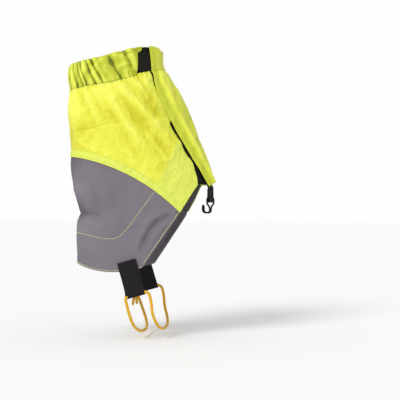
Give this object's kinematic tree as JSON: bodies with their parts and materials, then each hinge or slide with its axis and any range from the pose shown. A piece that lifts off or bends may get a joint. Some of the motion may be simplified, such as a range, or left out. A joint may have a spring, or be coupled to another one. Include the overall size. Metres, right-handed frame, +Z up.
{
  "type": "gaiter",
  "caption": "Short hiking gaiter for the right leg, with a gathered elastic cuff, front hook-and-loop flap, grey ankle guards, a lace hook and an elastic cord stirrup.",
  "frame": {"origin": "on the axis of the leg at the ankle, which is where the mount leg_and_boot is", "axes": "+X to the toe, +Y to the inner side of the leg, +Z up along the leg"},
  "size_m": [0.1526, 0.1003, 0.2936],
  "materials": {
    "shell_cloth": "light woven nylon, bright lime yellow, slight sheen",
    "guard_cloth": "tight plain-weave nylon, warm grey, matt",
    "facing_cloth": "light woven nylon, lime, matt",
    "elastic_band": "ribbed knitted elastic, off white",
    "hook_tape": "black tape with stiff hooks",
    "loop_tape": "black tape with a brushed loop pile",
    "webbing": "black ribbed nylon webbing",
    "elastic_cord": "round braided elastic, golden yellow",
    "hook_wire": "black coated steel wire, satin"
  },
  "bodies": {
    "gaiter": {"shell_panel_outer": "shell_cloth", "shell_panel_inner": "shell_cloth", "ankle_guard_outer": "guard_cloth", "ankle_guard_inner": "guard_cloth", "hem_facing_outer": "facing_cloth", "hem_facing_inner": "facing_cloth", "cuff_casing": "shell_cloth", "cuff_elastic": "elastic_band", "hook_tape": "hook_tape", "hook_patch": "hook_tape"},
    "flap": {"front_flap": "shell_cloth", "loop_tape": "loop_tape"},
    "stirrup": {"stirrup_tab_outer": "webbing", "stirrup_tab_inner": "webbing", "stirrup_cord": "elastic_cord", "cord_knot": "elastic_cord"},
    "lace_strap": {"lace_tab": "webbing"},
    "hook": {"lace_hook": "hook_wire"}
  },
  "joints": [
    {"name": "flap_peel", "type": "hinge", "parent": "gaiter", "child": "flap", "pos_m": [0.06397, 0.003, 0.1022], "axis": [-0.3743, 0, 0.9273], "range_deg": [0, 150]},
    {"name": "stirrup_swing", "type": "hinge", "parent": "gaiter", "child": "stirrup", "pos_m": [0.0045, 0, -0.0503], "axis": [0, 1, 0], "range_deg": [-25, 25]},
    {"name": "lace_tab_fold", "type": "hinge", "parent": "gaiter", "child": "lace_strap", "pos_m": [0.0845, -0.013, 0.027], "axis": [-0.4226, -0.9063, 0], "range_deg": [-20, 80]},
    {"name": "lace_hook_swing", "type": "hinge", "parent": "lace_strap", "child": "hook", "pos_m": [0.0845, -0.013, 0.015], "axis": [-0.4226, -0.9063, 0], "range_deg": [-60, 60]}
  ]
}
